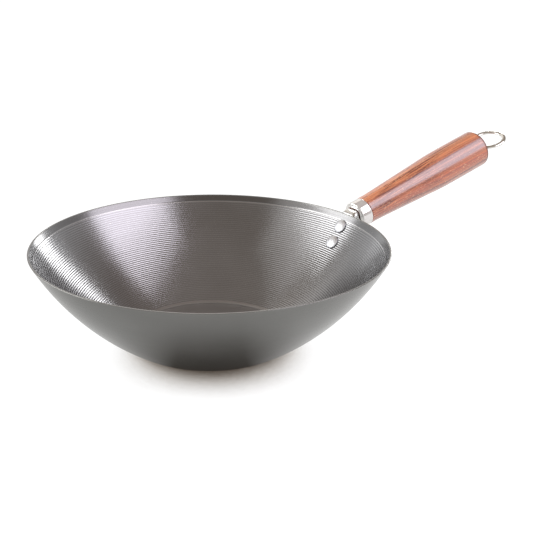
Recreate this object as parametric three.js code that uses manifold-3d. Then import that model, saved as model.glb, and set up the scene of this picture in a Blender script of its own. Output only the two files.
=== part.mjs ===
// A spun steel wok with a flat base and one riveted wooden handle that ends in a hanging ring.
// Millimetres, +Z up. The origin is the centre of the base's underside and the handle points along +X.

import * as THREE from 'three';
import { mergeVertices } from 'three/addons/utils/BufferGeometryUtils.js';
import Module from 'manifold-3d';

const wasm = await Module();
wasm.setup();

// Bowl: one spun sheet with a flat base, a round corner and a wall that is one circular arc
const RIM_RADIUS = 150;
const BOWL_HEIGHT = 84;
const WALL_FOOT_RADIUS = 69.5; // where the wall's arc would meet the table
const WALL_BULGE = 8; // the arc's rise over its chord
const CORNER_RADIUS = 11;
const SHEET = 1.5;
const RIM_ROUND = 0.4;
const RIM_BAND = 6; // smooth band under the rim, measured down the inner wall
const RIM_LINE_WIDTH = 1.2;
const RIM_LINE_DEPTH = 0.35;

// Clearances between pieces
const SEAT_GAP = 0.3; // between pieces that rest on each other
const HOLE_CLEARANCE = 0.3; // round a rivet's shank or the rod, on the radius
const SLOT_CLEARANCE = 0.9; // between the neck and the ferrule's slot
const RING_PLAY = 0.6; // between the ring's wire and the eye

// Handle: where its axis crosses the rim's cylinder, and how steeply it rises
const AXIS_DROP = 6.1; // below the rim
const HANDLE_RISE = THREE.MathUtils.degToRad(16);

// Ferrule: a drawn cap round the front of the wood, placed along the axis from the rim's cylinder
const FERRULE_START = 9.2;
const FERRULE_LENGTH = 11.1;
const FERRULE_RADIUS = 13.2;
const FERRULE_WALL = 0.8;
const FERRULE_ROUND = 1.8;

// Wood: a waist behind the ferrule, a belly in the middle and nearly straight from there to the end
const WOOD_LENGTH = 151;
const WAIST_RADIUS = 13.4;
const WAIST_FROM_FRONT = 14;
const BELLY_RADIUS = 16.4;
const BELLY_FROM_FRONT = 68;
const SWELL_RADIUS = 17.9;
const SWELL_FROM_FRONT = 98;
const END_RADIUS = 18.1;
const END_ROUND = 2.2;
const TENON_CHAMFER = 1.6;
const SOCKET_PAST_TANG = 4;

// Bracket: a pressed channel, flat against the wall below and folded over the rim into a neck
const BRACKET_SHEET = 2;
const NECK_HALF_WIDTH = 7.2;
const NECK_TOP = 7.2; // above the handle's axis
const NECK_DEPTH = 9.5;
const NECK_CORNER = 3.5;
const BEND_RADIUS = 5.5;
const BEND_HALF_WIDTH = 8.8;
const BEND_FLANGE = 4.5; // the sides are lower round the bend, where they would meet
const NECK_LEAD = 0.5; // full depth of the sides ahead of the ferrule
const TANG_LENGTH = 18; // past the ferrule
const PAD_HALF_WIDTH = 11.5;
const PAD_TIP_HALF_WIDTH = 5;
const PAD_LIP = 0.8; // how far the pressed edge stands off the pad
const PAD_BELOW_RIVET = 12; // from the lower rivet to the end of the pad, along the wall

// Rivets: a low dome inside the bowl and a clenched head outside
const UPPER_RIVET_DROP = 10.7; // below the rim, where the shank meets the inner wall
const LOWER_RIVET_DROP = 24.3;
const RIVET_HEAD_RADIUS = 6.5;
const RIVET_HEAD_RISE = 2.3;
const RIVET_EDGE = 0.7; // straight edge of the dome
const SHANK_RADIUS = 2.6;
const CLENCH_RADIUS = 4.4;
const CLENCH_RISE = 1.8;

// Tie rod with an eye, its nut in the tang and its washer in the end of the wood
const ROD_RADIUS = 2;
const ROD_BEVEL = 0.7;
const ROD_PAST_NUT = 3;
const NUT_LENGTH = 8;
const NUT_FROM_TANG_END = 1.5;
const WASHER_RADIUS = 6.4;
const WASHER_THICKNESS = 1.2;
const COUNTERBORE_DEPTH = 2.6;
const EYE_WIRE_RADIUS = 1.6;
const EYE_ROLL = THREE.MathUtils.degToRad(5); // how far the eye is turned about the handle's axis

// Hanging ring of flattened wire, held out in line with the handle and a little above it
const RING_MEAN_RADIUS = 14.8;
const RING_WIDTH = 4.2;
const RING_THICKNESS = 3;
const RING_LIFT = THREE.MathUtils.degToRad(3.5);

// Facets
const BOWL_SEGMENTS = 72;
const HANDLE_SEGMENTS = 40;
const SMALL_SEGMENTS = 24;
const WIRE_SIDES = 12;
const WALL_STEPS = 13;
const ROUND_STEPS = 4;
const PAD_STEPS = 16;
const BEND_STEPS = 6;
const WOOD_STEPS = 12;

const at = (x, y) => new THREE.Vector2(x, y);
const polar = (centre, radius, angle) =>
  at(centre.x + radius * Math.cos(angle), centre.y + radius * Math.sin(angle));

// Points of an arc, both ends included
function arc(centre, radius, from, to, steps) {
  const step = (to - from) / steps;
  return Array.from({ length: steps + 1 }, (_, i) => polar(centre, radius, from + step * i));
}

// Only positions are kept, so that shared vertices merge into one closed surface,
// without slivers on the axis
function closed(geometry) {
  const bare = geometry.clone();
  bare.deleteAttribute('normal');
  bare.deleteAttribute('uv');
  const merged = mergeVertices(bare, 1e-4);
  const corners = merged.index.array;
  const kept = [];
  for (let i = 0; i < corners.length; i += 3) {
    const [a, b, c] = corners.slice(i, i + 3);
    if (a !== b && b !== c && c !== a) kept.push(a, b, c);
  }
  merged.setIndex(kept);
  return merged;
}

function solid(geometry) {
  const bare = closed(geometry);
  const vertProperties = new Float32Array(bare.attributes.position.array);
  const triVerts = new Uint32Array(bare.index.array);
  return new wasm.Manifold(new wasm.Mesh({ numProp: 3, vertProperties, triVerts }));
}

function surface(manifold) {
  const mesh = manifold.getMesh();
  const geometry = new THREE.BufferGeometry();
  geometry.setAttribute('position', new THREE.BufferAttribute(new Float32Array(mesh.vertProperties), 3));
  geometry.setIndex(new THREE.BufferAttribute(new Uint32Array(mesh.triVerts), 1));
  return geometry;
}

// A profile of (radius, height) points, revolved about +Z
function revolved(profile, segments) {
  return closed(new THREE.LatheGeometry(profile, segments).rotateX(Math.PI / 2));
}

// A profile of (along, radius) points, revolved about +X
function turned(profile, segments) {
  const points = profile.map((p) => at(p.y, p.x));
  return closed(new THREE.LatheGeometry(points, segments).rotateZ(-Math.PI / 2));
}

// A round sleeve about +X
function sleeve(start, end, bore, outer) {
  const profile = [at(start, bore), at(start, outer), at(end, outer), at(end, bore), at(start, bore)];
  return turned(profile, SMALL_SEGMENTS);
}

// Wall arc in the (radius, height) plane, with its centre inside and above the bowl
const wall = (() => {
  const foot = at(WALL_FOOT_RADIUS, 0);
  const rim = at(RIM_RADIUS, BOWL_HEIGHT);
  const chord = rim.clone().sub(foot);
  const radius = chord.lengthSq() / (8 * WALL_BULGE) + WALL_BULGE / 2;
  const inward = at(-chord.y, chord.x).normalize();
  const centre = foot.clone().add(rim).multiplyScalar(0.5).addScaledVector(inward, radius - WALL_BULGE);
  return { radius, centre, inner: radius - SHEET };
})();
const wallAngle = (radius, height) => Math.asin((height - wall.centre.y) / radius);
const onWall = (radius, height) => polar(wall.centre, radius, wallAngle(radius, height));

// Corner arc between the base and the wall, tangent to both
const corner = (() => {
  const rise = CORNER_RADIUS - wall.centre.y;
  const reach = wall.radius - CORNER_RADIUS;
  const centre = at(wall.centre.x + Math.sqrt(reach * reach - rise * rise), CORNER_RADIUS);
  return { centre, meets: Math.atan2(rise, centre.x - wall.centre.x) };
})();

function bowlGeometry() {
  const rimStart = wallAngle(wall.radius, BOWL_HEIGHT - RIM_ROUND);
  const bandTop = wallAngle(wall.inner, BOWL_HEIGHT - RIM_ROUND);
  const lineTop = wallAngle(wall.inner, BOWL_HEIGHT) - RIM_BAND / wall.inner;
  const lineEnd = lineTop - RIM_LINE_WIDTH / wall.inner;
  const profile = [
    at(0, 0),
    ...arc(corner.centre, CORNER_RADIUS, -Math.PI / 2, corner.meets, ROUND_STEPS),
    ...arc(wall.centre, wall.radius, corner.meets, rimStart, WALL_STEPS).slice(1),
    onWall(wall.radius - RIM_ROUND, BOWL_HEIGHT),
    onWall(wall.inner + RIM_ROUND, BOWL_HEIGHT),
    ...arc(wall.centre, wall.inner, bandTop, lineTop, 2),
    polar(wall.centre, wall.inner + RIM_LINE_DEPTH, (lineTop + lineEnd) / 2),
    ...arc(wall.centre, wall.inner, lineEnd, corner.meets, WALL_STEPS),
    ...arc(corner.centre, CORNER_RADIUS - SHEET, corner.meets, -Math.PI / 2, ROUND_STEPS).slice(1),
    at(0, SHEET),
  ];
  const shell = solid(revolved(profile, BOWL_SEGMENTS));
  return surface(shell.subtract(rivetHole(upperRivet)).subtract(rivetHole(lowerRivet)));
}

// Frame on the inner wall at a rivet: local +Z looks into the bowl, square to the wall
function rivetFrame(drop) {
  const angle = wallAngle(wall.inner, BOWL_HEIGHT - drop);
  const seat = polar(wall.centre, wall.inner, angle);
  const x = new THREE.Vector3(Math.sin(angle), 0, -Math.cos(angle));
  const z = new THREE.Vector3(-Math.cos(angle), 0, -Math.sin(angle));
  const y = z.clone().cross(x);
  return { angle, matrix: new THREE.Matrix4().makeBasis(x, y, z).setPosition(seat.x, 0, seat.y) };
}
const upperRivet = rivetFrame(UPPER_RIVET_DROP);
const lowerRivet = rivetFrame(LOWER_RIVET_DROP);
const rivetGrip = SHEET + SEAT_GAP + BRACKET_SHEET; // what a rivet holds together

function rivetGeometry(rivet) {
  const under = SEAT_GAP;
  const outside = -rivetGrip - SEAT_GAP;
  const domeRise = RIVET_HEAD_RISE - RIVET_EDGE;
  const domeRadius = (RIVET_HEAD_RADIUS ** 2 + domeRise ** 2) / (2 * domeRise);
  const domeCentre = at(0, under + RIVET_HEAD_RISE - domeRadius);
  const domeEdge = Math.acos(RIVET_HEAD_RADIUS / domeRadius);
  const quarter = arc(at(0, 0), 1, -Math.PI / 2, 0, ROUND_STEPS);
  const profile = [
    at(0, outside - CLENCH_RISE),
    ...quarter.slice(1).map((p) => at(CLENCH_RADIUS * p.x, outside + CLENCH_RISE * p.y)),
    at(SHANK_RADIUS, outside),
    at(SHANK_RADIUS, under),
    at(RIVET_HEAD_RADIUS, under),
    ...arc(domeCentre, domeRadius, domeEdge, Math.PI / 2, ROUND_STEPS).slice(0, -1),
    at(0, under + RIVET_HEAD_RISE),
  ];
  return revolved(profile, SMALL_SEGMENTS).applyMatrix4(rivet.matrix);
}

function rivetHole(rivet) {
  const radius = SHANK_RADIUS + HOLE_CLEARANCE;
  const drill = new THREE.CylinderGeometry(radius, radius, 4 * rivetGrip, SMALL_SEGMENTS);
  return solid(drill.rotateX(Math.PI / 2).applyMatrix4(rivet.matrix));
}

// Handle frame in the XZ plane: out along the handle's axis from the rim's cylinder, and square to it
const handleOrigin = at(RIM_RADIUS, BOWL_HEIGHT - AXIS_DROP);
const outward = at(Math.cos(HANDLE_RISE), Math.sin(HANDLE_RISE));
const upward = at(-Math.sin(HANDLE_RISE), Math.cos(HANDLE_RISE));
const onHandle = (along, above) =>
  handleOrigin.clone().addScaledVector(outward, along).addScaledVector(upward, above);

const ferruleEnd = FERRULE_START + FERRULE_LENGTH;
const woodFront = ferruleEnd + SEAT_GAP;
const woodEnd = woodFront + WOOD_LENGTH;
const tangEnd = ferruleEnd + TANG_LENGTH;

// The bracket's section: a flat web with folded sides, bent to the wall's round by the crown
function channelSection({ halfWidth, depth, round, crown }) {
  const flat = halfWidth - round;
  const fold = Math.max(round - BRACKET_SHEET, 0.3);
  const foldCentre = at(halfWidth - BRACKET_SHEET - fold, -BRACKET_SHEET - fold);
  const outer = [
    at(halfWidth, -depth),
    ...arc(at(flat, -round), round, 0, Math.PI / 2, ROUND_STEPS),
    at(flat / 2, 0),
    at(0, 0),
  ];
  const inner = [
    at(0, -BRACKET_SHEET),
    at(flat / 2, -BRACKET_SHEET),
    ...arc(foldCentre, fold, Math.PI / 2, 0, ROUND_STEPS),
    at(halfWidth - BRACKET_SHEET, -depth),
  ];
  const mirrored = (points) => points.map((p) => at(-p.x, p.y)).reverse();
  const loop = [...outer, ...mirrored(outer).slice(1), ...mirrored(inner), ...inner.slice(1)];
  return loop.map((p) => at(p.x, p.y + crown * p.x * p.x));
}

// The web's upper line: up the wall, round the bend and out along the handle.
// The bend's centre lies on the line below the neck that is one bend radius from it,
// and one bend radius outside the wall.
function bracketStations() {
  const against = wall.radius + SEAT_GAP;
  const below = onHandle(0, NECK_TOP - BEND_RADIUS);
  const fromCentre = below.clone().sub(wall.centre);
  const lean = fromCentre.dot(outward);
  const reach = against + BEND_RADIUS;
  const along = Math.sqrt(lean * lean - fromCentre.lengthSq() + reach * reach) - lean;
  const bendCentre = below.clone().addScaledVector(outward, along);
  const toBend = bendCentre.clone().sub(wall.centre);
  const leaves = Math.atan2(toBend.y, toBend.x);
  const padEnd = lowerRivet.angle - PAD_BELOW_RIVET / wall.radius;
  const padLength = (leaves - padEnd) * against;
  const wallRound = Math.cos(leaves) / (2 * polar(wall.centre, against, leaves).x);
  const pad = Array.from({ length: PAD_STEPS + 1 }, (_, i) => {
    const share = i / PAD_STEPS;
    const angle = padEnd + (leaves - padEnd) * share;
    const point = polar(wall.centre, against, angle);
    const normal = at(-Math.cos(angle), -Math.sin(angle));
    const crown = Math.cos(angle) / (2 * point.x);
    return { point, normal, crown, ...padSize(share * padLength, padLength) };
  });
  const neck = { halfWidth: NECK_HALF_WIDTH, depth: NECK_DEPTH, round: NECK_CORNER };
  const folds = { halfWidth: BEND_HALF_WIDTH, depth: BEND_FLANGE, round: NECK_CORNER };
  const turns = arc(at(0, 0), 1, leaves + Math.PI, HANDLE_RISE + Math.PI / 2, BEND_STEPS);
  const bend = turns.map((normal, i) => {
    const point = bendCentre.clone().addScaledVector(normal, BEND_RADIUS);
    return { point, normal, crown: wallRound * (1 - i / BEND_STEPS), ...folds };
  });
  const lead = { point: onHandle(FERRULE_START - NECK_LEAD, NECK_TOP), normal: upward, crown: 0, ...neck };
  const tang = { point: onHandle(tangEnd, NECK_TOP), normal: upward, crown: 0, ...neck };
  return [...pad, ...bend.slice(1), lead, tang];
}

// Size of the section on the pad: a round tip, then sides that fold up towards the neck
function padSize(fromTip, padLength) {
  const tip = Math.max(PAD_HALF_WIDTH - fromTip, 0);
  const round = Math.sqrt(PAD_HALF_WIDTH ** 2 - tip ** 2);
  const wide = Math.max(round, PAD_TIP_HALF_WIDTH);
  const folded = THREE.MathUtils.smoothstep(fromTip, PAD_HALF_WIDTH, padLength);
  return {
    halfWidth: THREE.MathUtils.lerp(wide, BEND_HALF_WIDTH, folded),
    depth: THREE.MathUtils.lerp(BRACKET_SHEET + PAD_LIP, BEND_FLANGE, folded),
    round: THREE.MathUtils.lerp(BRACKET_SHEET + PAD_LIP / 2, NECK_CORNER, folded),
  };
}

function bracketGeometry() {
  const stations = bracketStations();
  const sections = stations.map(channelSection);
  const count = sections[0].length;
  const positions = stations.flatMap(({ point, normal }, i) =>
    sections[i].flatMap((p) => [point.x + normal.x * p.y, p.x, point.y + normal.y * p.y]),
  );
  const index = [];
  for (let station = 0; station < stations.length - 1; station += 1) {
    for (let i = 0; i < count; i += 1) {
      const a = station * count + i;
      const b = station * count + ((i + 1) % count);
      index.push(a, b, a + count, b, b + count, a + count);
    }
  }
  const last = positions.length / 3 - count;
  THREE.ShapeUtils.triangulateShape(sections[0], []).forEach(([a, b, c]) => index.push(a, c, b));
  THREE.ShapeUtils.triangulateShape(sections[stations.length - 1], []).forEach(([a, b, c]) => {
    index.push(last + a, last + b, last + c);
  });
  const skin = new THREE.BufferGeometry();
  skin.setAttribute('position', new THREE.Float32BufferAttribute(positions, 3));
  skin.setIndex(index);
  return surface(solid(skin).subtract(rivetHole(upperRivet)).subtract(rivetHole(lowerRivet)));
}

// Window in the ferrule's face for the neck
function slotGeometry() {
  const halfWidth = NECK_HALF_WIDTH + SLOT_CLEARANCE;
  const top = NECK_TOP + SLOT_CLEARANCE;
  const bottom = NECK_TOP - NECK_DEPTH - SLOT_CLEARANCE;
  const round = NECK_CORNER + SLOT_CLEARANCE;
  const shape = new THREE.Shape();
  shape.moveTo(-halfWidth, bottom);
  shape.lineTo(halfWidth, bottom);
  shape.absarc(halfWidth - round, top - round, round, 0, Math.PI / 2);
  shape.absarc(round - halfWidth, top - round, round, Math.PI / 2, Math.PI);
  const through = { depth: 3 * FERRULE_WALL, bevelEnabled: false, curveSegments: 2 * ROUND_STEPS };
  const window = new THREE.ExtrudeGeometry(shape, through);
  return window.rotateX(Math.PI / 2).rotateZ(Math.PI / 2).translate(FERRULE_START - FERRULE_WALL, 0, 0);
}

function ferruleGeometry() {
  const bore = FERRULE_RADIUS - FERRULE_WALL;
  const roundCentre = at(FERRULE_START + FERRULE_ROUND, FERRULE_RADIUS - FERRULE_ROUND);
  const face = FERRULE_START + FERRULE_WALL;
  const profile = [
    at(FERRULE_START, 0),
    ...arc(roundCentre, FERRULE_ROUND, Math.PI, Math.PI / 2, ROUND_STEPS),
    at(ferruleEnd, FERRULE_RADIUS),
    at(ferruleEnd, bore),
    ...arc(roundCentre, FERRULE_ROUND - FERRULE_WALL, Math.PI / 2, Math.PI, ROUND_STEPS),
    at(face, 0),
  ];
  return surface(solid(turned(profile, HANDLE_SEGMENTS)).subtract(solid(slotGeometry())));
}

// The tang's farthest corner from the axis sets the socket in the wood
const socketRadius = (() => {
  const upper = Math.hypot(NECK_HALF_WIDTH - NECK_CORNER, NECK_TOP - NECK_CORNER) + NECK_CORNER;
  const lower = Math.hypot(NECK_HALF_WIDTH, NECK_DEPTH - NECK_TOP);
  return Math.max(upper, lower) + SEAT_GAP;
})();
const boreRadius = ROD_RADIUS + HOLE_CLEARANCE;

function woodGeometry() {
  const tenon = FERRULE_RADIUS - FERRULE_WALL - SEAT_GAP;
  const tenonFront = FERRULE_START + FERRULE_WALL + SEAT_GAP;
  const socketEnd = tangEnd + SOCKET_PAST_TANG;
  const counterbore = WASHER_RADIUS + SEAT_GAP;
  const counterboreEnd = woodEnd - COUNTERBORE_DEPTH;
  const outline = new THREE.SplineCurve([
    at(woodFront, FERRULE_RADIUS),
    at(woodFront + WAIST_FROM_FRONT, WAIST_RADIUS),
    at(woodFront + BELLY_FROM_FRONT, BELLY_RADIUS),
    at(woodFront + SWELL_FROM_FRONT, SWELL_RADIUS),
    at(woodEnd - END_ROUND, END_RADIUS),
  ]);
  const endCentre = at(woodEnd - END_ROUND, END_RADIUS - END_ROUND);
  const endRound = arc(endCentre, END_ROUND, Math.PI / 2, 0, ROUND_STEPS);
  const profile = [
    at(tenonFront, socketRadius),
    at(tenonFront, tenon - TENON_CHAMFER),
    at(tenonFront + TENON_CHAMFER, tenon),
    at(woodFront, tenon),
    ...outline.getPoints(WOOD_STEPS),
    ...endRound.slice(1),
    at(woodEnd, counterbore),
    at(counterboreEnd, counterbore),
    at(counterboreEnd, boreRadius),
    at(socketEnd, boreRadius),
    at(socketEnd, socketRadius),
    at(tenonFront, socketRadius),
  ];
  return turned(profile, HANDLE_SEGMENTS);
}

const nutEnd = tangEnd - NUT_FROM_TANG_END;
const nutStart = nutEnd - NUT_LENGTH;
const nutRadius = Math.min(NECK_TOP, NECK_HALF_WIDTH) - BRACKET_SHEET - SEAT_GAP;
const washerSeat = woodEnd - COUNTERBORE_DEPTH + SEAT_GAP;
const washerFace = washerSeat + WASHER_THICKNESS;
const eyeRadius = RING_WIDTH / 2 + RING_PLAY + EYE_WIRE_RADIUS; // to the middle of the eye's wire
const eyeAlong = washerFace + SEAT_GAP + eyeRadius + EYE_WIRE_RADIUS;

function eyeRodGeometry() {
  const tip = nutStart - ROD_PAST_NUT;
  const root = eyeAlong - eyeRadius;
  const profile = [
    at(tip, 0),
    at(tip, ROD_RADIUS - ROD_BEVEL),
    at(tip + ROD_BEVEL, ROD_RADIUS),
    at(root, ROD_RADIUS),
    at(root, 0),
  ];
  const eye = new THREE.TorusGeometry(eyeRadius, EYE_WIRE_RADIUS, WIRE_SIDES, SMALL_SEGMENTS);
  eye.rotateX(Math.PI / 2 + EYE_ROLL).translate(eyeAlong, 0, 0);
  return surface(solid(turned(profile, SMALL_SEGMENTS)).add(solid(eye)));
}

// Ring of oval wire round +Z, from the eye outwards along +X
function ringGeometry() {
  const round = arc(at(0, 0), 0.5, 0, 2 * Math.PI, WIRE_SIDES);
  const section = round.map((p) => at(RING_MEAN_RADIUS + RING_WIDTH * p.x, RING_THICKNESS * p.y));
  return revolved(section, 2 * SMALL_SEGMENTS).translate(RING_MEAN_RADIUS, 0, 0);
}

function piece(name, geometry, color, roughness, metalness) {
  const mesh = new THREE.Mesh(geometry, new THREE.MeshStandardMaterial({ color, roughness, metalness }));
  mesh.name = name;
  return mesh;
}

const ring = new THREE.Group();
ring.position.set(eyeAlong, 0, 0);
ring.rotation.set(EYE_ROLL, -RING_LIFT, 0);
ring.add(piece('hanging_ring', ringGeometry(), 0xd6d5d0, 0.12, 1));

const handle = new THREE.Group();
handle.position.set(handleOrigin.x, 0, handleOrigin.y);
handle.rotation.y = -HANDLE_RISE;
handle.add(
  piece('ferrule', ferruleGeometry(), 0xdedcd6, 0.1, 1),
  piece('wooden_handle', woodGeometry(), 0xa95f40, 0.35, 0),
  piece('anchor_nut', sleeve(nutStart, nutEnd, boreRadius, nutRadius), 0x8f9193, 0.4, 1),
  piece('eye_rod', eyeRodGeometry(), 0xc4c4c1, 0.2, 1),
  piece('rod_washer', sleeve(washerSeat, washerFace, boreRadius, WASHER_RADIUS), 0xb9babb, 0.3, 1),
  ring,
);

const wok = new THREE.Group();
wok.add(
  piece('wok_bowl', bowlGeometry(), 0x66646a, 0.45, 0.7),
  piece('handle_bracket', bracketGeometry(), 0xc9cacb, 0.2, 1),
  piece('rivet_upper', rivetGeometry(upperRivet), 0xdcdde2, 0.35, 0.9),
  piece('rivet_lower', rivetGeometry(lowerRivet), 0xdcdde2, 0.35, 0.9),
  handle,
);

export default wok;
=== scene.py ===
"""Looks of a spun steel wok with a riveted wooden handle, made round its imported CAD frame.

Metres, +Z up. The origin is the centre of the base's underside and the handle points along +X.
"""

import math

import bmesh
import bpy
from mathutils import Matrix, Vector


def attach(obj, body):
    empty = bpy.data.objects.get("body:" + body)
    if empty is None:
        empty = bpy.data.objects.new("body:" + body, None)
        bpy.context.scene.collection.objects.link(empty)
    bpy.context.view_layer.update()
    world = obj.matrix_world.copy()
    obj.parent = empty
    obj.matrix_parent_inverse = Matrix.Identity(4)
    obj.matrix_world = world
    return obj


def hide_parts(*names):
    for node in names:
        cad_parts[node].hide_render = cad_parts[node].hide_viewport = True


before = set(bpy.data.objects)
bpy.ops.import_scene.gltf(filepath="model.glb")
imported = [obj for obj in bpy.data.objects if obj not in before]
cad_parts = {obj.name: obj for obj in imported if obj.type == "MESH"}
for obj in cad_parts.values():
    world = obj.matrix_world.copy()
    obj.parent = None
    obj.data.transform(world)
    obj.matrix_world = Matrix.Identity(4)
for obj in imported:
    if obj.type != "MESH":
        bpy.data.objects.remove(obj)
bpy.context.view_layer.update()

# Bowl
RIM_RADIUS = 0.150
BOWL_HEIGHT = 0.084
WALL_FOOT_RADIUS = 0.0695
WALL_BULGE = 0.008
CORNER_RADIUS = 0.011
SHEET = 0.0015
RIM_ROUND = 0.0004
RIM_BAND = 0.006
RIM_LINE_WIDTH = 0.0012
RIM_LINE_DEPTH = 0.00010
GROOVE_COUNT = 53
GROOVE_DEPTH = 0.00010
BEAD_WIDTH = 0.0012
BEAD_RISE = 0.00016

# Handle axis
AXIS_DROP = 0.0061
HANDLE_RISE = math.radians(16)

# Ferrule and wood, measured along the axis from the rim's cylinder
FERRULE_START = 0.0092
FERRULE_END = 0.0203
FERRULE_RADIUS = 0.0132
FERRULE_WALL = 0.0008
FERRULE_ROUND = 0.0018
SLOT_CLEARANCE = 0.0009
SEAT_GAP = 0.0003
WOOD_FRONT = FERRULE_END + SEAT_GAP
WOOD_END = WOOD_FRONT + 0.151
WAIST = (WOOD_FRONT + 0.014, 0.0134)
BELLY = (WOOD_FRONT + 0.068, 0.0164)
SWELL = (WOOD_FRONT + 0.098, 0.0179)
END_RADIUS = 0.0181
END_ROUND = 0.0022
TENON_CHAMFER = 0.0016
SOCKET_END = 0.0423
SOCKET_RADIUS = 0.0090
BORE_RADIUS = 0.0023
COUNTERBORE_DEPTH = 0.0026

# Bracket
BRACKET_SHEET = 0.002
NECK_HALF_WIDTH = 0.0072
NECK_TOP = 0.0072
NECK_DEPTH = 0.0095
NECK_CORNER = 0.0035
BEND_RADIUS = 0.0055
BEND_HALF_WIDTH = 0.0088
BEND_FLANGE = 0.0045
NECK_LEAD = 0.0005
TANG_END = FERRULE_END + 0.018
PAD_HALF_WIDTH = 0.0115
PAD_TIP_HALF_WIDTH = 0.005
PAD_LIP = 0.0008
PAD_BELOW_RIVET = 0.012

# Rivets
RIVET_DROPS = (0.0107, 0.0243)
RIVET_HEAD_RADIUS = 0.0065
RIVET_HEAD_RISE = 0.0023
RIVET_EDGE = 0.0007
SHANK_RADIUS = 0.0026
CLENCH_RADIUS = 0.0044
CLENCH_RISE = 0.0018

# Tie rod, washer and ring
ROD_RADIUS = 0.002
ROD_BEVEL = 0.0007
ROD_TIP = 0.0258
WASHER_RADIUS = 0.0064
WASHER_SEAT = WOOD_END - COUNTERBORE_DEPTH + SEAT_GAP
WASHER_FACE = WASHER_SEAT + 0.0012
EYE_WIRE_RADIUS = 0.0016
EYE_RADIUS = 0.0043
EYE_ROLL = math.radians(5)
EYE_ALONG = WASHER_FACE + SEAT_GAP + EYE_RADIUS + EYE_WIRE_RADIUS
RING_MEAN_RADIUS = 0.0148
RING_WIDTH = 0.0042
RING_THICKNESS = 0.003
RING_LIFT = math.radians(3.5)

HANDLE_FOOT = (RIM_RADIUS, 0, BOWL_HEIGHT - AXIS_DROP)
HANDLE = Matrix.Translation(HANDLE_FOOT) @ Matrix.Rotation(-HANDLE_RISE, 4, "Y")
OUT_ALONG_X = Matrix(((0, 0, 1, 0), (0, 1, 0, 0), (-1, 0, 0, 0), (0, 0, 0, 1)))


# Meshes

def linked(name, data):
    """A new object in the scene."""
    made = bpy.data.objects.new(name, data)
    bpy.context.scene.collection.objects.link(made)
    return made


def as_object(name, shell):
    """A new object in the scene from a bmesh, which is freed."""
    mesh = bpy.data.meshes.new(name)
    shell.to_mesh(mesh)
    shell.free()
    return linked(name, mesh)


def arc(centre, radius, start, end, steps):
    """Points of an arc in a plane, with both of its ends."""
    turns = [start + (end - start) / steps * i for i in range(steps + 1)]
    return [(centre[0] + radius * math.cos(t), centre[1] + radius * math.sin(t)) for t in turns]


def between(first, last, steps):
    """Points from first to last, without first."""
    a, b = Vector(first), Vector(last)
    return [tuple(a.lerp(b, (i + 1) / steps)) for i in range(steps)]


def skin(name, loops, first=None, last=None, wrap=False):
    """A smooth surface over loops of equal length.

    It is closed by a pole at each end or by a return to the first loop, and else stays open.
    """
    shell = bmesh.new()
    rows = [[shell.verts.new(point) for point in loop] for loop in loops]
    count = len(rows[0])
    pairs = list(zip(rows, rows[1:]))
    if wrap:
        pairs.append((rows[-1], rows[0]))
    for near, far in pairs:
        for i in range(count):
            j = (i + 1) % count
            shell.faces.new((near[i], near[j], far[j], far[i]))
    for pole, row in ((first, rows[0]), (last, rows[-1])):
        if pole is not None:
            tip = shell.verts.new(pole)
            for i in range(count):
                shell.faces.new((tip, row[i], row[(i + 1) % count]))
    bmesh.ops.recalc_face_normals(shell, faces=shell.faces)
    for face in shell.faces:
        face.smooth = True
    return as_object(name, shell)


def revolve(name, profile, around, place=Matrix()):
    """Turns a profile of (radius, height) points about +Z. A point on the axis becomes a pole."""
    turns = [2 * math.pi * i / around for i in range(around)]
    loops = [
        [place @ Vector((radius * math.cos(t), radius * math.sin(t), height)) for t in turns]
        for radius, height in profile
        if radius > 0
    ]
    ends = (profile[0], profile[-1])
    poles = [place @ Vector((0, 0, height)) if radius == 0 else None for radius, height in ends]
    return skin(name, loops, *poles, wrap=poles == [None, None])


def turned(name, profile, around):
    """Turns a profile of (along, radius) points about the handle's axis."""
    return revolve(name, [(radius, along) for along, radius in profile], around, HANDLE @ OUT_ALONG_X)


def joined(name, pieces):
    """One object from several, with the meshes of all."""
    whole = bmesh.new()
    for piece in pieces:
        whole.from_mesh(piece.data)
        bpy.data.objects.remove(piece)
    return as_object(name, whole)


# Node trees

NOISE_LOW, NOISE_HIGH = 0.3, 0.7


def add(tree, kind, inputs=None, **settings):
    """A new node with its settings, and its inputs set to values or linked to outputs."""
    made = tree.nodes.new(kind)
    for key, value in settings.items():
        setattr(made, key, value)
    for key, value in (inputs or {}).items():
        if isinstance(value, bpy.types.NodeSocket):
            tree.links.new(value, made.inputs[key])
        else:
            made.inputs[key].default_value = value
    return made


def math_node(tree, operation, *values):
    return add(tree, "ShaderNodeMath", dict(enumerate(values)), operation=operation).outputs[0]


def vector_node(tree, operation, vector, by=None):
    """Vector arithmetic. A length or a dot product comes out as a number."""
    values = {0: vector}
    if by is not None:
        values["Scale" if operation == "SCALE" else 1] = by
    made = add(tree, "ShaderNodeVectorMath", values, operation=operation)
    return made.outputs["Value" if operation in ("LENGTH", "DOT_PRODUCT") else "Vector"]


def mix_colours(tree, share, first, second):
    values = {0: share, 6: first, 7: second}
    return add(tree, "ShaderNodeMix", values, data_type="RGBA").outputs[2]


def ramp(tree, value, stops):
    """Colour ramp with stops of (place, colour)."""
    node = add(tree, "ShaderNodeValToRGB", {0: value})
    elements = node.color_ramp.elements
    while len(elements) < len(stops):
        elements.new(0.5)
    for element, (place, colour) in zip(elements, stops):
        element.position = place
        element.color = (*colour, 1)
    return node.outputs[0]


def noise(tree, vector, scale, detail=2.0, roughness=0.5, distortion=0.0):
    values = {
        "Vector": vector,
        "Scale": scale,
        "Detail": detail,
        "Roughness": roughness,
        "Distortion": distortion,
    }
    return add(tree, "ShaderNodeTexNoise", values).outputs[0]


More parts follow.
